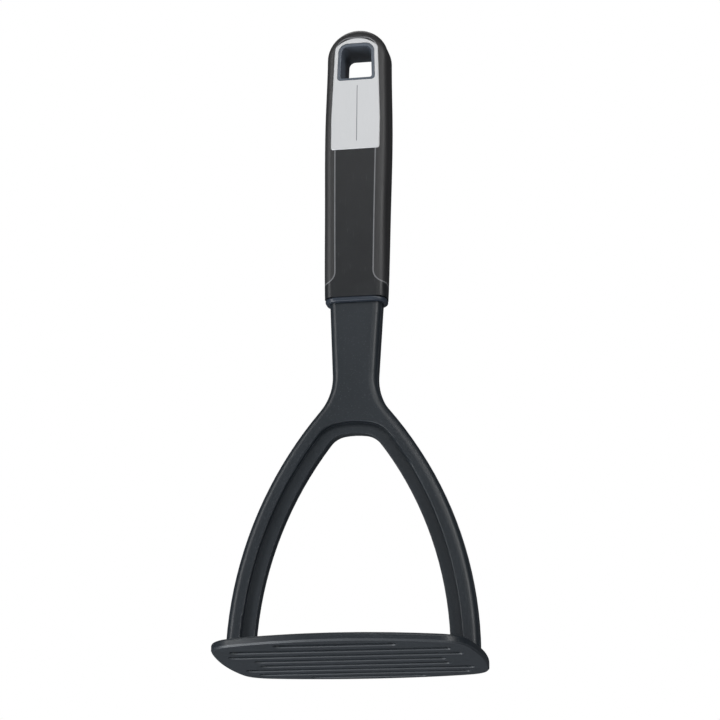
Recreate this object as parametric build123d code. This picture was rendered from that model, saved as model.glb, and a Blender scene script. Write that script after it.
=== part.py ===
from build123d import *
import os

# Potato masher: slotted pressing plate, arched fork, and a two-tone handle with a hanging eye.
# Millimetres. Origin at the centre of the plate's underside, +Z up the handle,
# X across the width, -Y towards the front, where the badge is.

# ---------------------------------------------------------------- driving sizes
overall_height = 274.0

# pressing plate
plate_width = 107.6
plate_depth = 87.4
plate_thickness = 3.4
plate_side_radius = 155.0
plate_front_radius = 140.0
plate_corner_radius = 14.0
plate_top_round = 1.0
plate_bottom_bevel = 0.7
slot_pitch = 10.1
slot_width = 5.0
slot_half_lengths = (39.1, 47.4, 44.3, 24.4)   # from the middle rows outwards
slot_edge_bevel = 0.35
plate_flat_half_depth = 12.0
plate_edge_rise = 0.75      # the front and rear edges curve up by this much

# fork: two arms that follow concentric arcs, joined by an arch under the neck
arm_arc_centre_x = 108.0
arm_arc_centre_z = 1.6
arm_outer_radius = 159.85
arm_step_radius = 153.4
arm_inner_radius = 148.2
fork_thickness = 10.4
web_thickness = 5.0
step_top_z = 99.1
step_cap_radius = 35.0
step_corner_radius = 12.0
arch_top_z = 94.6
arch_cap_radius = 30.0
arch_corner_radius = 9.0
neck_low_z = 104.0
neck_low_half_width = 8.6
neck_top_half_width = 11.05
neck_flare_radius = 22.0
neck_root_z = 112.0         # the arms' outer arcs end here, inside the neck
fork_edge_round = 3.4
step_edge_round = 0.6
web_edge_round = 0.5

# foot blocks of the fork, let into the top of the plate
foot_floor = 1.2
foot_top = plate_thickness

# tang, inside the handle
tang_half_width_low = 7.5
tang_half_width_top = 5.5
tang_low_z = 147.2
tang_thickness = 5.5
tang_top_z = 214.0

# collar at the handle's mouth
collar_bottom_z = 150.6
collar_top_z = 152.6
collar_width = 26.1
collar_depth = 13.4
collar_middle_y = -0.4
collar_corner_radius = 5.5
collar_bottom_round = 1.0
collar_top_round = 0.8
collar_gap = 0.2

# handle body
handle_half_width_low = 13.1
handle_half_width_mid = 13.45
handle_half_width_high = 13.78
handle_mid_z = 192.0
handle_high_z = 232.0
handle_side_lean = 0.02     # how far the sides lean outwards at the collar
handle_top_radius = 13.25
handle_front_low = 7.0
handle_front = 8.7
handle_back_low = 6.2
handle_back_belly = 8.4
handle_back_eye = 8.3
handle_back_top = 8.0
handle_belly_z = 207.0
handle_eye_z = 256.0
handle_back_lean_low = 0.08
handle_back_lean_top = -0.01
handle_flat_from_z = 214.9  # the front is flat from here up, behind the badge
front_edge_radius = 4.0
back_edge_radius = 5.0
skin_thickness = 2.4

# joint line between the panels and the grip
rib_width = 0.5
tongue_half_width_low = 8.0
tongue_half_width_high = 9.3
tongue_top_z = 269.4
tongue_corner_radius = 6.5
band_top_z = 158.6
band_corner_radius = 5.0

# badge and hanging eye
badge_bottom_z = 217.9
badge_half_width = 10.55
badge_shoulder_half_width = 9.45
badge_top_half_width = 8.95
badge_foot_half_width = 10.45
badge_wide_z = 231.9
badge_shoulder_z = 262.0
badge_top_z = 269.1
badge_top_radius = 12.5
badge_shoulder_round = 2.5
badge_corner_round = 1.0
badge_thickness = 1.0
badge_proud = 0.3
badge_bevel = 0.3
eye_bottom_z = 249.5
eye_top_z = 266.75
eye_half_width_low = 8.3
eye_half_width_top = 7.8
eye_top_corner = 4.2
eye_bottom_corner = 1.5
eye_rim = 1.5
eye_rim_share_low = 0.8     # the rim's width below the hole, as a share of eye_rim
eye_corner_share_low = 0.4
eye_rim_proud = 0.3
eye_rim_round = 0.45

REACH = 60.0    # longer than any section, for tools that cut right through
MARGIN = 1.0    # how far a cutting tool or a search box goes past what it is for
TOUCH = 0.01    # places closer than this are the same place


# ---------------------------------------------------------------- helpers
def polygon(points):
    """A flat face through points, in order."""
    return make_face(Polyline(*points, close=True))


def disc(x, y, radius):
    """A round face about (x, y)."""
    return Pos(x, y) * Circle(radius)


def box_face(x0, y0, x1, y1):
    """A rectangle between two corners."""
    return Pos((x0 + x1) / 2, (y0 + y1) / 2) * Rectangle(x1 - x0, y1 - y0)


def along_y(face, y_low, y_high):
    """A prism of an outline drawn in X and Z, from y_low to y_high."""
    return Pos(0, y_high, 0) * extrude(Plane.XZ * face, amount=y_high - y_low)


def through_y(face):
    """A prism of an outline drawn in X and Z, longer than the object is deep."""
    return along_y(face, -REACH, REACH)


def along_x(face):
    """A prism of an outline drawn in Y and Z, longer than the object is wide."""
    return Pos(-REACH, 0, 0) * extrude(Plane.YZ * face, amount=2 * REACH)


def corners_between(face, z_low, z_high):
    """The outline's corners, whose second coordinate lies between two heights."""
    return [v for v in face.vertices() if z_low < v.Y < z_high and abs(v.X) > MARGIN]


def mirrored(points):
    """Points on the right, in rising order, followed by their mirror images in falling order."""
    return list(points) + [(-x, z) for x, z in reversed(points)]


# ---------------------------------------------------------------- pressing plate
def plate_outline():
    side_x = plate_side_radius - plate_width / 2
    front_y = plate_front_radius - plate_depth / 2
    face = disc(-side_x, 0, plate_side_radius) & disc(side_x, 0, plate_side_radius)
    face = face & disc(0, -front_y, plate_front_radius) & disc(0, front_y, plate_front_radius)
    return fillet(face.vertices(), plate_corner_radius)


def plate_side_profile():
    """The plate seen from the side: Y first, then Z. Flat in the middle, with edges that curve up."""
    flat = plate_flat_half_depth
    run = plate_depth / 2 - flat
    radius = (run ** 2 + plate_edge_rise ** 2) / (2 * plate_edge_rise)
    reach = run + 5 * MARGIN
    level = (1 - (reach / radius) ** 2) ** 0.5
    low_end = (flat + reach, radius - radius * level)
    inner_radius = radius - plate_thickness
    high_end = (flat + reach * inner_radius / radius, radius - inner_radius * level)
    low_arc = TangentArc((flat, 0), low_end, tangent=(1, 0))
    high_arc = TangentArc((flat, plate_thickness), high_end, tangent=(1, 0))
    half = [Line((0, 0), (flat, 0)), low_arc, Line(low_end, high_end), high_arc,
            Line((flat, plate_thickness), (0, plate_thickness)), Line((0, plate_thickness), (0, 0))]
    face = make_face(half)
    return face + mirror(face, Plane.YZ)


def foot_box(z_low, z_high):
    """The block of one arm's foot on the right."""
    x_in = arm_inner_radius - arm_arc_centre_x
    x_out = arm_outer_radius - arm_arc_centre_x
    block = Box(x_out - x_in, fork_thickness, z_high - z_low)
    return Pos((x_in + x_out) / 2, 0, (z_low + z_high) / 2) * block


def slot_rows():
    """The centre line and half length of every slot."""
    for row, half_length in enumerate(slot_half_lengths):
        for side in (-1, 1):
            yield side * (row + 0.5) * slot_pitch, half_length


def on_a_slot_mouth(edge):
    """Whether an edge is where a slot opens on the underside."""
    centre = edge.center()
    box = edge.bounding_box()
    if centre.Z > plate_thickness / 2 or box.size.Z > plate_thickness / 2:
        return False
    return any(abs(centre.Y - y) < slot_width / 2 + TOUCH and abs(centre.X) < half_length + TOUCH
               for y, half_length in slot_rows())


def make_mash_plate():
    plate = extrude(plate_outline(), 4 * plate_thickness, both=True) & along_x(plate_side_profile())
    rim = [e for e in plate.edges() if e.geom_type != GeomType.LINE]
    plate = chamfer([e for e in rim if e.center().Z < plate_thickness / 2], plate_bottom_bevel)
    rim = [e for e in plate.edges() if e.geom_type != GeomType.LINE]
    plate = fillet([e for e in rim if e.center().Z > plate_thickness - MARGIN], plate_top_round)
    for y, half_length in slot_rows():
        slot = extrude(SlotOverall(2 * half_length, slot_width), REACH, both=True)
        plate = plate - Pos(0, y, 0) * slot
    plate = chamfer([e for e in plate.edges() if on_a_slot_mouth(e)], slot_edge_bevel)
    foot = foot_box(foot_floor, REACH)
    return plate - foot - mirror(foot, Plane.YZ)


# ---------------------------------------------------------------- fork
def pointed_arch(radius):
    """The space between two arcs about centres on either side of the object."""
    left = disc(-arm_arc_centre_x, arm_arc_centre_z, radius)
    return left & disc(arm_arc_centre_x, arm_arc_centre_z, radius)


def capped_arch(radius, top_z, cap_radius, corner_radius):
    """A pointed arch whose point is replaced by a flatter cap, with rounded corners."""
    cap_centre_z = top_z - cap_radius
    cap = disc(0, cap_centre_z, cap_radius) + box_face(-REACH, -REACH, REACH, cap_centre_z)
    face = pointed_arch(radius) & cap & box_face(-REACH, 0, REACH, overall_height)
    return fillet(corners_between(face, cap_centre_z + MARGIN, top_z), corner_radius)


def fork_outline():
    """The fork's outer edge, from the plate to the shoulder at the top of the collar."""
    arch = pointed_arch(arm_outer_radius) & box_face(-REACH, foot_top, REACH, neck_root_z)
    neck = polygon(mirrored([(neck_low_half_width, neck_low_z), (neck_top_half_width, collar_top_z)]))
    face = arch + neck
    flare = corners_between(face, neck_low_z + MARGIN / 2, neck_root_z - MARGIN)
    return fillet(flare, neck_flare_radius)


def make_fork():
    outline = fork_outline()
    half = fork_thickness / 2
    frame_opening = capped_arch(arm_step_radius, step_top_z, step_cap_radius, step_corner_radius)
    web_opening = capped_arch(arm_inner_radius, arch_top_z, arch_cap_radius, arch_corner_radius)
    frame = along_y(outline - frame_opening, -half, half)

    def on_the_faces(edge):
        at_the_face = abs(abs(edge.center().Y) - half) < TOUCH
        return at_the_face and foot_top + TOUCH < edge.center().Z < collar_top_z - TOUCH

    def inside_an_arch(edge, radius, top_z):
        x, z = abs(edge.center().X), edge.center().Z
        reach = ((x + arm_arc_centre_x) ** 2 + (z - arm_arc_centre_z) ** 2) ** 0.5
        return reach < radius + MARGIN and z < top_z + MARGIN

    def on_the_step(edge):
        return inside_an_arch(edge, arm_step_radius, step_top_z)

    face_edges = [e for e in frame.edges() if on_the_faces(e)]
    frame = fillet([e for e in face_edges if not on_the_step(e)], fork_edge_round)
    face_edges = [e for e in frame.edges() if on_the_faces(e)]
    frame = fillet([e for e in face_edges if on_the_step(e)], step_edge_round)

    web = along_y(outline - web_opening, -web_thickness / 2, web_thickness / 2)
    rim = [e for e in web.edges() if abs(abs(e.center().Y) - web_thickness / 2) < TOUCH]
    rim = [e for e in rim if inside_an_arch(e, arm_inner_radius, arch_top_z)]
    web = fillet([e for e in rim if e.center().Z > foot_top + TOUCH], web_edge_round)

    foot = foot_box(foot_floor, foot_top)
    tang_sides = [(tang_half_width_low, tang_low_z), (tang_half_width_top, tang_top_z)]
    tang = along_y(polygon(mirrored(tang_sides)), -tang_thickness / 2, tang_thickness / 2)
    return frame + web + foot + mirror(foot, Plane.YZ) + tang


# ---------------------------------------------------------------- handle
def handle_silhouette(inset=0.0):
    """The handle seen from the front, above the collar, or an outline inside it by inset."""
    top_centre_z = overall_height - handle_top_radius
    top_radius = handle_top_radius - inset
    low = handle_half_width_low - inset
    right = Spline(
        (low, collar_top_z),
        (handle_half_width_mid - inset, handle_mid_z),
        (handle_half_width_high - inset, handle_high_z),
        (top_radius, top_centre_z),
        tangents=((handle_side_lean, 1), (0, 1)),
    )
    top = ThreePointArc((top_radius, top_centre_z), (0, overall_height - inset), (-top_radius, top_centre_z))
    base = Line((-low, collar_top_z), (low, collar_top_z))
    return make_face([right, top, mirror(right, Plane.YZ), base])


def handle_side_profile(inset=0.0):
    """The handle seen from the side: Y first, then Z. The front is flat behind the badge."""
    top_z = overall_height + MARGIN - inset
    front = inset - handle_front
    front_foot = inset - handle_front_low
    back_foot = handle_back_low - inset
    back_top = handle_back_top - inset
    front_flat = Line((front, top_z), (front, handle_flat_from_z))
    front_low = TangentArc((front, handle_flat_from_z), (front_foot, collar_top_z), tangent=(0, -1))
    base = Line((front_foot, collar_top_z), (back_foot, collar_top_z))
    back = Spline(
        (back_foot, collar_top_z),
        (handle_back_belly - inset, handle_belly_z),
        (handle_back_eye - inset, handle_eye_z),
        (back_top, top_z),
        tangents=((handle_back_lean_low, 1), (handle_back_lean_top, 1)),
    )
    top = Line((back_top, top_z), (front, top_z))
    return make_face([front_flat, front_low, base, back, top])


def handle_body():
    """The whole outside of the handle, as one block."""
    def long_edges(solid):
        above = [e for e in solid.edges() if e.center().Z > collar_top_z + MARGIN]
        return [e for e in above if e.length > handle_top_radius / 2]

    block = through_y(handle_silhouette()) & along_x(handle_side_profile())
    block = fillet([e for e in long_edges(block) if e.center().Y < 0], front_edge_radius)
    return fillet([e for e in long_edges(block) if e.center().Y > handle_back_top - MARGIN], back_edge_radius)


def core_block():
    """The hard block inside the skin."""
    return through_y(handle_silhouette(skin_thickness)) & along_x(handle_side_profile(skin_thickness))


def panel_outline(grow):
    """The hard panel seen from the front: a round-topped tongue on a band across the handle's foot."""
    tongue = polygon(mirrored([
        (tongue_half_width_low + grow, collar_top_z),
        (tongue_half_width_high + grow, tongue_top_z + grow),
    ]))
    top_corners = corners_between(tongue, tongue_top_z - MARGIN, tongue_top_z + MARGIN)
    tongue = fillet(top_corners, tongue_corner_radius + grow)
    face = tongue + box_face(-REACH, arch_top_z, REACH, band_top_z + grow)
    hollows = corners_between(face, band_top_z - MARGIN, band_top_z + MARGIN)
    hollows = [v for v in hollows if abs(v.X) < REACH / 2]
    return fillet(hollows, band_corner_radius - grow)


def badge_outline():
    face = polygon(mirrored([
        (badge_foot_half_width, badge_bottom_z),
        (badge_half_width, badge_wide_z),
        (badge_shoulder_half_width, badge_shoulder_z),
        (badge_top_half_width, badge_top_z + MARGIN),
    ]))
    round_centre_z = badge_top_z - badge_top_radius
    face = face & (disc(0, round_centre_z, badge_top_radius) + box_face(-REACH, 0, REACH, round_centre_z))
    shoulders = corners_between(face, badge_shoulder_z - MARGIN, badge_top_z - MARGIN)
    face = fillet(shoulders, badge_shoulder_round)
    feet = corners_between(face, badge_bottom_z - MARGIN, badge_bottom_z + MARGIN)
    return fillet(feet, badge_corner_round)


def eye_outline(inset):
    """The hanging eye's outline, inset by the rim's width where inset is given."""
    face = polygon(mirrored([
        (eye_half_width_low - inset, eye_bottom_z + inset * eye_rim_share_low),
        (eye_half_width_top - inset, eye_top_z - inset),
    ]))
    face = fillet(face.vertices().sort_by(Axis.Y)[-2:], eye_top_corner - inset)
    return fillet(face.vertices().sort_by(Axis.Y)[:2], eye_bottom_corner - inset * eye_corner_share_low)


def make_eye_liner():
    ring = through_y(eye_outline(0)) & along_x(handle_side_profile(-eye_rim_proud))
    ring = ring - through_y(eye_outline(eye_rim))
    rims = [e for e in ring.edges() if abs(e.center().Y) > handle_back_top - MARGIN]
    return fillet(rims, eye_rim_round)


def make_badge():
    front_y = -handle_front - badge_proud
    plate = along_y(badge_outline(), front_y, front_y + badge_thickness)
    front = plate.faces().sort_by(Axis.Y)[0]
    plate = chamfer(front.edges(), badge_bevel)
    return plate - through_y(eye_outline(0))


def make_collar():
    section = RectangleRounded(collar_width, collar_depth, collar_corner_radius)
    ring = Pos(0, collar_middle_y, collar_bottom_z) * extrude(section, collar_top_z - collar_bottom_z)
    ring = fillet(ring.faces().sort_by(Axis.Z)[0].edges(), collar_bottom_round)
    ring = fillet(ring.faces().sort_by(Axis.Z)[-1].edges(), collar_top_round)
    mouth = Rectangle(2 * (neck_top_half_width + collar_gap), fork_thickness + 2 * collar_gap)
    mouth = fillet(mouth.vertices(), fork_edge_round)
    return ring - extrude(mouth, overall_height)


# ---------------------------------------------------------------- the whole masher
def make_parts():
    mash_plate = make_mash_plate()
    fork = make_fork()

    body = handle_body()
    block = core_block()
    skin = body - block
    eye_hole = through_y(eye_outline(0))
    badge_seat = along_y(badge_outline(), -REACH, badge_thickness - handle_front - badge_proud)
    inner_panel = panel_outline(-rib_width / 2)
    outer_panel = panel_outline(rib_width / 2)
    around = box_face(-REACH, arch_top_z, REACH, overall_height + MARGIN)
    front_half = Pos(0, -REACH, 0) * Box(2 * REACH, 2 * REACH, 3 * overall_height)

    panels = (skin & through_y(inner_panel)) - eye_hole - badge_seat
    ribs = body & through_y(outer_panel - inner_panel)
    grip = skin & through_y(around - outer_panel)
    core = (block + ribs) - eye_hole - badge_seat - fork
    return {
        "mash_plate": mash_plate,
        "fork_frame": fork,
        "end_collar": make_collar(),
        "handle_core": core,
        "front_panel": panels & front_half,
        "back_panel": panels - front_half,
        "side_grip": grip - eye_hole - badge_seat,
        "badge_plate": make_badge(),
        "eye_liner": make_eye_liner(),
    }


os.makedirs("parts", exist_ok=True)
for name, solid in make_parts().items():
    export_step(solid, "parts/" + name + ".step")
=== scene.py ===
import math

import bpy
from mathutils import Matrix, Vector

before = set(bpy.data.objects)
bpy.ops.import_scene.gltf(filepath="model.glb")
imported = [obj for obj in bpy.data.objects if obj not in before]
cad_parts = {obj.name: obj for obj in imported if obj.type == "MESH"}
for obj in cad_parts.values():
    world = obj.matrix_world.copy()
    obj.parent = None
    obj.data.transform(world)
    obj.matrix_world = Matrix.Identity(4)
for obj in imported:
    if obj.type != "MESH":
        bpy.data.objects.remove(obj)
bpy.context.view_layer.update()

# Potato masher: finishes for the nylon plate and fork, the slate-blue collar and eye liner, the grey
# core, the black hard panels, the soft grip and the brushed badge, with the light and the camera.
# Metres, in the part's own frame: origin at the centre of the plate's underside, +Z up the handle,
# -Y towards the badge.

MM = 0.001


# ---------------------------------------------------------------- material sheets
class Wire:
    """A socket of a node sheet. Sums and comparisons on it add the Math nodes they need."""

    def __init__(self, sheet, socket):
        self.sheet = sheet
        self.socket = socket

    def math(self, operation, first, second=0.0, clamp=False):
        settings = {"operation": operation, "use_clamp": clamp}
        return self.sheet.add("ShaderNodeMath", settings, {0: first, 1: second})

    def __add__(self, other):
        return self.math("ADD", self, other)

    def __radd__(self, other):
        return self.math("ADD", other, self)

    def __sub__(self, other):
        return self.math("SUBTRACT", self, other)

    def __rsub__(self, other):
        return self.math("SUBTRACT", other, self)

    def __mul__(self, other):
        return self.math("MULTIPLY", self, other)

    def __rmul__(self, other):
        return self.math("MULTIPLY", other, self)

    def __gt__(self, other):
        return self.math("GREATER_THAN", self, other)

    def __lt__(self, other):
        return self.math("LESS_THAN", self, other)

    def __abs__(self):
        return self.math("ABSOLUTE", self)

    def clamped(self):
        return self.math("ADD", self, 0.0, clamp=True)


class Sheet:
    """The node sheet of one material or of the world, emptied for building."""

    def __init__(self, owner):
        owner.use_nodes = True
        self.tree = owner.node_tree
        self.tree.nodes.clear()

    def add(self, kind, settings=None, sockets=None, out=0):
        """Adds a node: its settings, then its sockets' values or wires. Gives the wire of one output."""
        node = self.tree.nodes.new(kind)
        for name, value in (settings or {}).items():
            setattr(node, name, value)
        for key, value in (sockets or {}).items():
            if isinstance(value, Wire):
                self.tree.links.new(value.socket, node.inputs[key])
            else:
                node.inputs[key].default_value = value
        return Wire(self, node.outputs[out]) if node.outputs else None

    def place(self):
        """Object coordinates, in metres."""
        return self.add("ShaderNodeTexCoord", out="Object")

    def split(self, vector):
        """The wires of a vector's three parts."""
        first = self.add("ShaderNodeSeparateXYZ", None, {0: vector})
        return [Wire(self, output) for output in first.socket.node.outputs]

    def stretched(self, vector, x, y, z):
        """Coordinates scaled along each axis: below 1 draws a pattern out."""
        return self.add("ShaderNodeVectorMath", {"operation": "MULTIPLY"}, {0: vector, 1: (x, y, z)})

    def grain(self, vector, size, detail=2.0, roughness=0.5):
        """Noise from 0 to 1, with lumps of about this size in metres."""
        return self.add("ShaderNodeTexNoise", {"noise_dimensions": "3D"},
                        {"Vector": vector, "Scale": 1.0 / size, "Detail": detail, "Roughness": roughness})

    def band(self, value, low, high, start=0.0, end=1.0):
        """The value's climb from low to high, eased, as start to end."""
        return self.add("ShaderNodeMapRange", {"interpolation_type": "SMOOTHSTEP"},
                        {"Value": value, "From Min": low, "From Max": high, "To Min": start, "To Max": end})

    def blend(self, amount, first, second):
        """A colour between two colours."""
        return self.add("ShaderNodeMix", {"data_type": "RGBA"}, {0: amount, 6: first, 7: second}, out=2)

    def edges(self, radius, gain):
        """1 on outer edges and 0 on flat faces, from how far a rounded normal turns from the true one."""
        rounded = self.add("ShaderNodeBevel", {"samples": 4}, {"Radius": radius}, out="Normal")
        true = self.add("ShaderNodeNewGeometry", out="Normal")
        likeness = self.add("ShaderNodeVectorMath", {"operation": "DOT_PRODUCT"},
                            {0: rounded, 1: true}, out="Value")
        return ((1 - likeness) * gain).clamped()

    def bump(self, height, distance):
        """A normal roughened by a height from 0 to 1 that stands for this distance in metres."""
        return self.add("ShaderNodeBump", None, {"Height": height, "Distance": distance})


def colour(red, green, blue):
    """A colour from its screen values, 0 to 255, as the shader wants it."""
    def linear(value):
        value = value / 255
        return value / 12.92 if value <= 0.04045 else ((value + 0.055) / 1.055) ** 2.4
    return linear(red), linear(green), linear(blue), 1.0


def finish(name, build, fixed):
    """A material whose Principled shader takes fixed values and what build(sheet) returns by socket name."""
    material = bpy.data.materials.new(name)
    sheet = Sheet(material)
    shader = sheet.add("ShaderNodeBsdfPrincipled", None, {**fixed, **build(sheet)})
    sheet.add("ShaderNodeOutputMaterial", None, {"Surface": shader})
    return material


# ---------------------------------------------------------------- nylon
PARTING_HALF_WIDTH = 0.11 * MM


def nylon_looks(sheet):
    """Glass-filled nylon: fine moulded grain, faint flow mottling, rubbed edges that are lightened also as a
    painted edge highlight, and a parting line.
    """
    place = sheet.place()
    forward = sheet.split(place)[1]
    normal_forward = sheet.split(sheet.add("ShaderNodeNewGeometry", out="Normal"))[1]

    fine = sheet.grain(place, 0.32 * MM, detail=3.0, roughness=0.6)
    coarse = sheet.grain(place, 1.6 * MM, detail=2.0)
    flow = sheet.grain(sheet.stretched(place, 1.0, 1.0, 0.35), 14.0 * MM, detail=4.0)
    specks = sheet.band(sheet.grain(place, 0.5 * MM, detail=1.0), 0.64, 0.72)
    # Painted highlight: outer edges are lightened in colour, partly as rubbed wear and partly as the shine
    # of light on the rounded edges.
    edge_wear_and_highlight = sheet.edges(0.7 * MM, 3.0) * sheet.band(coarse, 0.35, 0.65, 0.45, 1.0)

    on_the_side = sheet.band(abs(normal_forward), 0.25, 0.45, 1.0, 0.0)
    parting = sheet.band(abs(forward), PARTING_HALF_WIDTH, 2 * PARTING_HALF_WIDTH, 1.0, 0.0) * on_the_side

    base = sheet.blend(flow, colour(21, 26, 30), colour(29, 34, 39))
    base = sheet.blend(specks * 0.35, base, colour(62, 66, 72))
    # Lighter edges: rubbed wear and painted edge highlight together.
    base = sheet.blend(edge_wear_and_highlight * 0.5, base, colour(74, 78, 84))
    roughness = 0.39 + (fine - 0.5) * 0.14 + (flow - 0.5) * 0.12 - edge_wear_and_highlight * 0.06
    height = fine + coarse * 0.8 + parting * 3.0
    return {"Base Color": base, "Roughness": roughness.clamped(), "Normal": sheet.bump(height, 0.018 * MM)}


# ---------------------------------------------------------------- slate-blue trim
def trim_looks(sheet, dark, light):
    """Slate-blue hard plastic: satin, with faint mottling and brighter rims, partly rubbed wear and partly
    painted highlight.
    """
    place = sheet.place()
    fine = sheet.grain(place, 0.25 * MM, detail=2.0)
    mottle = sheet.grain(place, 3.0 * MM, detail=3.0)
    edge_wear_and_highlight = sheet.edges(0.4 * MM, 3.0)
    base = sheet.blend(mottle, dark, light)
    # Painted highlight: rims are lightened in colour, partly as rubbed wear and partly as the shine of light
    # along them.
    base = sheet.blend(edge_wear_and_highlight * 0.5, base, colour(128, 138, 150))
    roughness = 0.36 + (mottle - 0.5) * 0.12 + (fine - 0.5) * 0.08
    return {"Base Color": base, "Roughness": roughness.clamped(), "Normal": sheet.bump(fine, 0.008 * MM)}


def collar_looks(sheet):
    """The collar's darker trim."""
    return trim_looks(sheet, colour(29, 35, 43), colour(38, 45, 55))


def liner_looks(sheet):
    """The eye liner's paler trim."""
    return trim_looks(sheet, colour(60, 66, 74), colour(74, 81, 90))


# ---------------------------------------------------------------- grey core
def core_looks(sheet):
    """Mid-grey hard plastic that shows as a hairline between the panels and the grip."""
    place = sheet.place()
    fine = sheet.grain(place, 0.3 * MM, detail=2.0)
    worn = sheet.grain(place, 5.0 * MM, detail=3.0)
    base = sheet.blend(worn, colour(86, 87, 89), colour(106, 107, 109))
    return {"Base Color": base, "Roughness": (0.45 + (fine - 0.5) * 0.15).clamped(),
            "Normal": sheet.bump(fine, 0.006 * MM)}


# ---------------------------------------------------------------- black panels
def panel_looks(sheet):
    """Black hard plastic: satin, with a very fine grain and hair scratches along the handle."""
    place = sheet.place()
    fine = sheet.grain(place, 0.28 * MM, detail=2.0)
    cloud = sheet.grain(place, 9.0 * MM, detail=3.0)
    hairs = sheet.grain(sheet.stretched(place, 1.0, 1.0, 0.02), 0.22 * MM, detail=1.0)
    scratches = sheet.band(hairs, 0.68, 0.74) * sheet.band(cloud, 0.45, 0.6)
    base = sheet.blend(cloud, colour(19, 20, 22), colour(26, 28, 30))
    base = sheet.blend(scratches * 0.3, base, colour(80, 80, 82))
    roughness = 0.4 + (fine - 0.5) * 0.12 + (cloud - 0.5) * 0.1 + scratches * 0.1
    height = fine - scratches * 0.5
    return {"Base Color": base, "Roughness": roughness.clamped(), "Normal": sheet.bump(height, 0.008 * MM)}


# ---------------------------------------------------------------- soft grip
def grip_looks(sheet):
    """Soft rubbery grip: matte, finely pebbled, with a faint bloom and handling marks."""
    place = sheet.place()
    pebbles = sheet.add("ShaderNodeTexVoronoi", {"feature": "SMOOTH_F1"},
                        {"Vector": place, "Scale": 1.0 / (0.42 * MM), "Smoothness": 0.6}, out="Distance")
    fine = sheet.grain(place, 0.2 * MM, detail=3.0)
    bloom = sheet.grain(sheet.stretched(place, 1.0, 1.0, 0.4), 11.0 * MM, detail=4.0)
    base = sheet.blend(bloom, colour(26, 26, 27), colour(34, 34, 35))
    roughness = 0.5 + (bloom - 0.5) * 0.14 + (fine - 0.5) * 0.12
    height = pebbles + fine * 0.4
    return {"Base Color": base, "Roughness": roughness.clamped(), "Normal": sheet.bump(height, 0.02 * MM)}


# ---------------------------------------------------------------- brushed badge
BADGE_LINE_X = 0.6 * MM
BADGE_LINE_HALF_WIDTH = 0.16 * MM
BADGE_LINE_LOW = 221.5 * MM
BADGE_LINE_HIGH = 247.0 * MM


def badge_looks(sheet):
    """Satin silver, lightly brushed up and down, with one plain engraved line and a painted highlight along
    its rim.
    """
    place = sheet.place()
    across, _, up = sheet.split(place)
    strokes = sheet.grain(sheet.stretched(place, 1.0, 1.0, 0.02), 0.12 * MM, detail=3.0, roughness=0.6)
    cloud = sheet.grain(place, 7.0 * MM, detail=3.0)
    # Painted highlight: the badge's rim is lightened towards white in colour.
    painted_rim_highlight = sheet.edges(0.25 * MM, 2.0)
    off_the_line = abs(across - BADGE_LINE_X)
    line = sheet.band(off_the_line, 0.8 * BADGE_LINE_HALF_WIDTH, 1.2 * BADGE_LINE_HALF_WIDTH, 1.0, 0.0)
    line = line * (up > BADGE_LINE_LOW) * (up < BADGE_LINE_HIGH)
    base = sheet.blend(strokes, colour(168, 169, 170), colour(181, 182, 183))
    base = sheet.blend(cloud * 0.25, base, colour(170, 171, 173))
    base = sheet.blend(painted_rim_highlight * 0.6, base, colour(232, 232, 233))
    base = sheet.blend(line, base, colour(98, 99, 103))
    roughness = 0.42 + (strokes - 0.5) * 0.2 + (cloud - 0.5) * 0.08 + line * 0.2
    height = strokes * 0.4 - line * 4.0
    return {"Base Color": base, "Roughness": roughness.clamped(), "Metallic": 0.2 - line * 0.15,
            "Normal": sheet.bump(height, 0.01 * MM)}


# ---------------------------------------------------------------- finishes on the pieces
NYLON = {"IOR": 1.5, "Specular IOR Level": 0.3}
HARD_PLASTIC = {"IOR": 1.5, "Specular IOR Level": 0.3}
RUBBER = {"IOR": 1.5, "Specular IOR Level": 0.4}
GLOSSY_TRIM = {"IOR": 1.5, "Specular IOR Level": 0.35}
nylon = finish("glass_filled_nylon", nylon_looks, NYLON)
collar_trim = finish("slate_blue_collar", collar_looks, GLOSSY_TRIM)
liner_trim = finish("slate_blue_liner", liner_looks, GLOSSY_TRIM)
grey_core = finish("grey_core", core_looks, HARD_PLASTIC)
black_panel = finish("black_hard_panel", panel_looks, HARD_PLASTIC)
soft_grip = finish("soft_grip", grip_looks, RUBBER)
silver_badge = finish("brushed_badge", badge_looks, {})

FINISHES = {
    "mash_plate": nylon,
    "fork_frame": nylon,
    "end_collar": collar_trim,
    "handle_core": grey_core,
    "front_panel": black_panel,
    "back_panel": black_panel,
    "side_grip": soft_grip,
    "badge_plate": silver_badge,
    "eye_liner": liner_trim,
}
for node_name, material in FINISHES.items():
    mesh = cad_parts[node_name].data
    mesh.materials.clear()
    mesh.materials.append(material)


# ---------------------------------------------------------------- floor
FLOOR_Z = -1.1
FLOOR_HALF_SIZE = 5.0


def paper_looks(sheet):
    """Pale matt paper with a faint tooth."""
    place = sheet.place()
    tooth = sheet.grain(place, 1.2 * MM, detail=2.0)
    cloud = sheet.grain(place, 0.6, detail=2.0)
    base = sheet.blend(cloud, colour(240, 240, 240), colour(246, 246, 246))
    return {"Base Color": base, "Roughness": (0.85 + (tooth - 0.5) * 0.1).clamped()}


def make_floor():
    corners = [(-1, -1), (1, -1), (1, 1), (-1, 1)]
    mesh = bpy.data.meshes.new("floor")
    points = [(u * FLOOR_HALF_SIZE, v * FLOOR_HALF_SIZE, FLOOR_Z) for u, v in corners]
    mesh.from_pydata(points, [], [(0, 1, 2, 3)])
    mesh.materials.append(finish("pale_paper", paper_looks, {}))
    floor = bpy.data.objects.new("floor", mesh)
    bpy.context.scene.collection.objects.link(floor)


make_floor()


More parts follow.
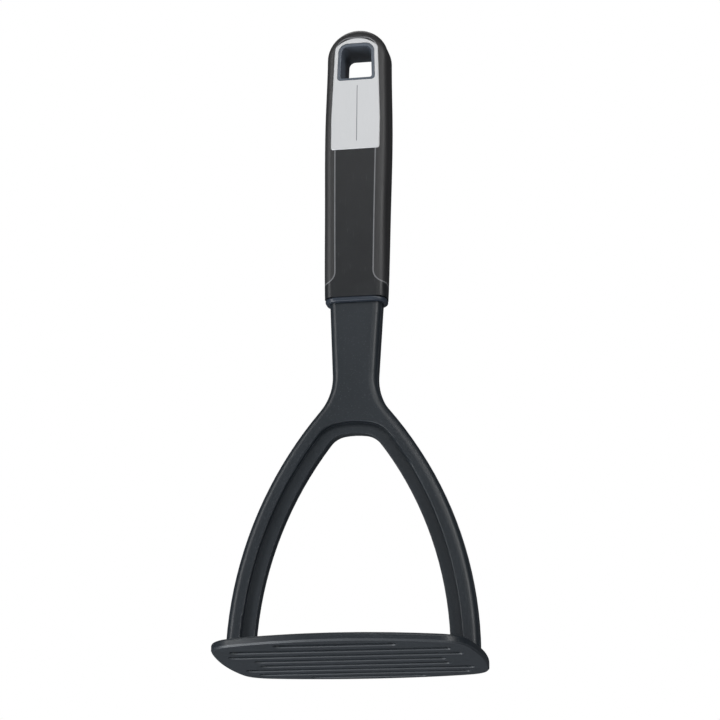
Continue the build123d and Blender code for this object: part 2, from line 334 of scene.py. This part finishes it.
# ---------------------------------------------------------------- light
MIDDLE = Vector((0.0, 0.0, 0.137))      # the middle of the masher, which the lights and the camera face
WHITE = (1.0, 1.0, 1.0)
COOL = (0.93, 0.96, 1.0)


def make_world():
    """A world that is white where it is seen directly, and gives the light of a dimmer dome."""
    world = bpy.data.worlds.new("studio")
    bpy.context.scene.world = world
    sheet = Sheet(world)
    direct = sheet.add("ShaderNodeLightPath", out="Is Camera Ray")
    height = sheet.split(sheet.add("ShaderNodeTexCoord", out="Generated"))[2]
    dome = sheet.blend(sheet.band(height, -0.9, 0.9), (0.045, 0.05, 0.06, 1), (0.06, 0.06, 0.062, 1))
    shown = sheet.blend(direct, dome, (1.0, 1.0, 1.0, 1.0))
    background = sheet.add("ShaderNodeBackground", None, {"Color": shown, "Strength": 1.0})
    sheet.add("ShaderNodeOutputWorld", None, {"Surface": background})


def towards(azimuth, elevation):
    """A unit vector, from its turn from the front towards the right and its climb, in radians."""
    level = math.cos(elevation)
    return Vector((math.sin(azimuth) * level, -math.cos(azimuth) * level, math.sin(elevation)))


def softbox(name, azimuth, elevation, distance, width, height, watts, tint):
    """A soft rectangular light that faces the masher. Azimuth runs from the front towards the right."""
    lamp = bpy.data.lights.new(name, "AREA")
    lamp.shape = "RECTANGLE"
    lamp.size = width
    lamp.size_y = height
    lamp.energy = watts
    lamp.color = tint
    box = bpy.data.objects.new(name, lamp)
    bpy.context.scene.collection.objects.link(box)
    away = towards(math.radians(azimuth), math.radians(elevation))
    facing = (-away).to_track_quat("-Z", "Y").to_matrix().to_4x4()
    box.matrix_world = Matrix.Translation(MIDDLE + distance * away) @ facing


make_world()
# Name, azimuth, elevation, distance, width, height, watts and tint. The back light stands high, so that
# it does not mirror in the masher's right-hand sides.
SOFTBOXES = [
    ("front_high", 14, 31, 1.6, 1.2, 0.5, 10.5, WHITE),
    ("left_strip", -52, 12, 1.3, 0.3, 1.3, 11.0, WHITE),
    ("right_strip", 56, 14, 1.3, 0.22, 1.3, 12.0, WHITE),
    ("low_left", -50, -22, 1.3, 0.4, 0.5, 5.0, COOL),
    ("front_low", -5, -7, 1.6, 0.9, 0.15, 2.0, COOL),
    ("deep_left", -80, -56, 1.2, 0.5, 0.5, 9.0, COOL),
    ("back_high", -155, 64, 1.6, 0.8, 0.8, 6.0, WHITE),
    ("below", 0, -85, 1.0, 1.0, 1.0, 5.0, COOL),
]
for settings in SOFTBOXES:
    softbox(*settings)


# ---------------------------------------------------------------- camera
CAMERA_AZIMUTH = math.radians(11.386)       # from the front towards the right
CAMERA_ELEVATION = math.radians(-17.211)    # below level, looking up
CAMERA_ROLL = math.radians(-0.735)
CAMERA_DISTANCE = 1.0
CAMERA_RIGHT = 0.001395                     # sideways and upward steps that centre the masher in the frame
CAMERA_UP = -0.009747
FOCAL_OVER_FRAME_WIDTH = 3.32792
SENSOR_WIDTH = 36.0
CLIP_START = 0.01
CLIP_END = 20.0


def make_camera():
    lens = bpy.data.cameras.new("camera")
    lens.sensor_width = SENSOR_WIDTH
    lens.lens = FOCAL_OVER_FRAME_WIDTH * SENSOR_WIDTH
    lens.clip_start = CLIP_START
    lens.clip_end = CLIP_END
    camera = bpy.data.objects.new("camera", lens)
    bpy.context.scene.collection.objects.link(camera)

    back = towards(CAMERA_AZIMUTH, CAMERA_ELEVATION)
    right = (-back).cross(Vector((0, 0, 1))).normalized()
    up = right.cross(-back)
    turned_right = math.cos(CAMERA_ROLL) * right - math.sin(CAMERA_ROLL) * up
    turned_up = math.sin(CAMERA_ROLL) * right + math.cos(CAMERA_ROLL) * up
    place = MIDDLE + CAMERA_DISTANCE * back + CAMERA_RIGHT * turned_right + CAMERA_UP * turned_up
    axes = Matrix((turned_right, turned_up, back)).transposed().to_4x4()
    camera.matrix_world = Matrix.Translation(place) @ axes
    bpy.context.scene.camera = camera


make_camera()
bpy.context.scene.view_settings.view_transform = "Standard"
